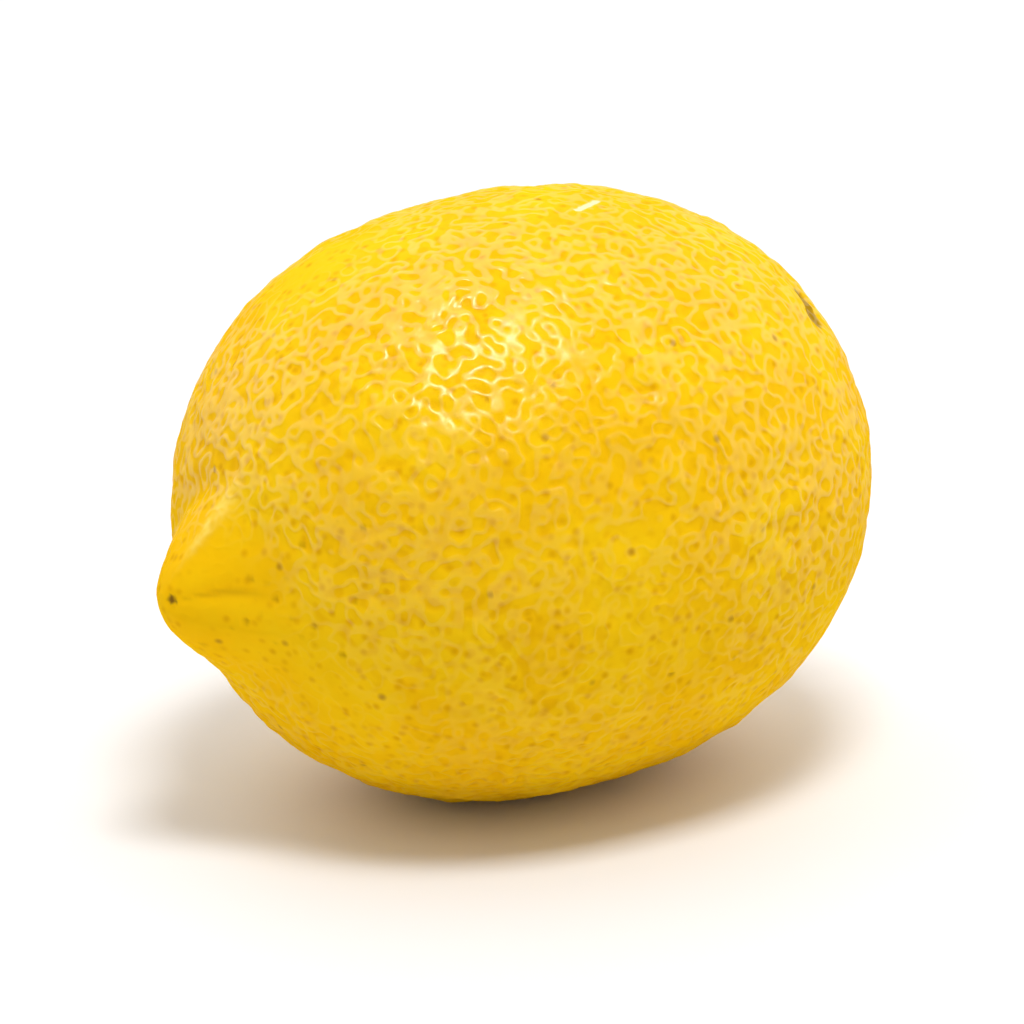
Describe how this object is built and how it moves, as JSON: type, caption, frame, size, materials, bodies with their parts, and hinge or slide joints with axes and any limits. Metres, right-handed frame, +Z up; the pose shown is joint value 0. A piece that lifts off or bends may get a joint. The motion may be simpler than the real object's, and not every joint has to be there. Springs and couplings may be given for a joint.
{
  "type": "lemon",
  "caption": "Whole ripe lemon lying on its side, with a creased nipple at the blossom end and a dried stem button in a ribbed collar; rests on a small flat spot.",
  "frame": {"origin": "on the resting surface, under the middle of the lemon's bounding box", "axes": "+X along the long axis towards the stem end, so the nipple points along -X; +Z up from the surface that the lemon lies on"},
  "size_m": [0.0856, 0.0646, 0.064],
  "materials": {
    "peel": "yellow citrus rind, waxy and satin, with pits, wrinkles and small brown specks",
    "dried_calyx": "dry grey-brown plant tissue, matt and rough, with a paler fibrous cut face"
  },
  "bodies": {
    "root": {"fruit": "peel", "stem_button": "dried_calyx"}
  },
  "joints": []
}
